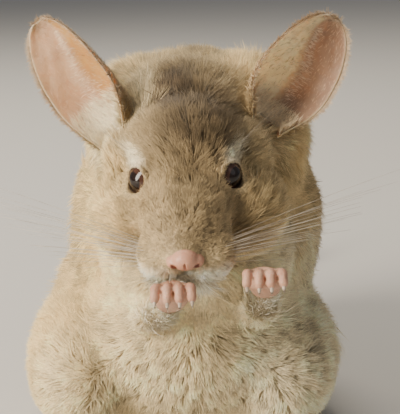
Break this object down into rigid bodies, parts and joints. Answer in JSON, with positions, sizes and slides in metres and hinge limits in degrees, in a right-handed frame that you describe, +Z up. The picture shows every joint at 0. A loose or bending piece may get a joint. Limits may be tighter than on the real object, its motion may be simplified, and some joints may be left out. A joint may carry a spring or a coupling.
{
  "type": "chinchilla",
  "caption": "Still life-size museum model of a chinchilla sitting up on its haunches with its forepaws raised in front of the chest.",
  "frame": {"origin": "middle of the model's box at the level of the floor that it sits on", "axes": "+Z up, the animal faces -Y, its left side is +X and its tail lies towards +Y"},
  "size_m": [0.169, 0.3284, 0.1836],
  "materials": {
    "coat": "beige-grey fur",
    "coat_pale": "cream fur",
    "tail_coat": "coarse grey-brown hair",
    "ear_skin": "thin skin with fine down",
    "paw_skin": "bare pink skin",
    "eye": "wet gloss"
  },
  "bodies": {
    "root": {"head": "coat", "neck": "coat", "torso": "coat", "nose": "paw_skin", "whisker_pad_left": "coat", "whisker_pad_right": "coat", "eye_left": "eye", "eye_right": "eye", "ear_left": "ear_skin", "ear_right": "ear_skin", "arm_left": "coat_pale", "arm_right": "coat_pale", "hand_left": "paw_skin", "hand_right": "paw_skin", "thigh_left": "coat", "thigh_right": "coat", "foot_left": "paw_skin", "foot_right": "paw_skin", "tail_root": "tail_coat", "tail_brush": "tail_coat"}
  },
  "joints": []
}
